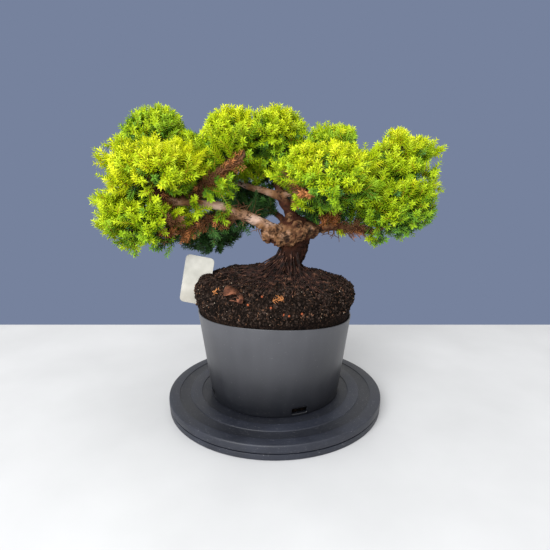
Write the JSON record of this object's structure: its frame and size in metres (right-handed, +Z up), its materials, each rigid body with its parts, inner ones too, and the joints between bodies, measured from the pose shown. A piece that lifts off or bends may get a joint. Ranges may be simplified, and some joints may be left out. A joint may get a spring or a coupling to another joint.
{
  "type": "juniper bonsai in a pot",
  "caption": "Small juniper bonsai with a leaning trunk, spreading boughs and dense masses of yellow-green needles, in a cut-down round nursery pot on a flat round stand.",
  "frame": {"origin": "centre of the stand's flat underside, on the axis of the stand and pot", "axes": "+Z up, -Y towards the front of the plant, +X to the right as seen from the front"},
  "size_m": [0.3687, 0.2645, 0.3455],
  "materials": {
    "stand": "matte charcoal, fine grain",
    "pot": "satin dark grey, dusty, hand-cut rim",
    "soil": "moist dark potting soil with fine roots",
    "label": "plain off-white plate, bare",
    "bark": "rough brown bark, paler on the boughs",
    "foliage": "short pointed yellow-green needles"
  },
  "bodies": {
    "root": {"stand_base": "stand", "stand_top": "stand", "pot": "pot", "root_ball": "soil", "plant_label": "label", "trunk": "bark", "left_bough": "bark", "left_lower_bough": "bark", "left_outer_bough": "bark", "left_rising_bough": "bark", "left_top_bough": "bark", "centre_bough": "bark", "centre_left_bough": "bark", "top_bough": "bark", "shoulder_bough": "bark", "front_bough": "bark", "right_bough": "bark", "right_rising_bough": "bark", "back_bough": "bark", "back_low_bough": "bark", "back_right_bough": "bark", "back_top_bough": "bark", "left_low_foliage": "foliage", "left_front_foliage": "foliage", "left_top_foliage": "foliage", "top_left_foliage": "foliage", "top_foliage": "foliage", "shoulder_foliage": "foliage", "front_foliage": "foliage", "right_top_foliage": "foliage", "right_low_foliage": "foliage", "back_foliage": "foliage", "back_low_foliage": "foliage", "back_left_foliage": "foliage", "back_top_foliage": "foliage", "back_right_foliage": "foliage"}
  },
  "joints": []
}
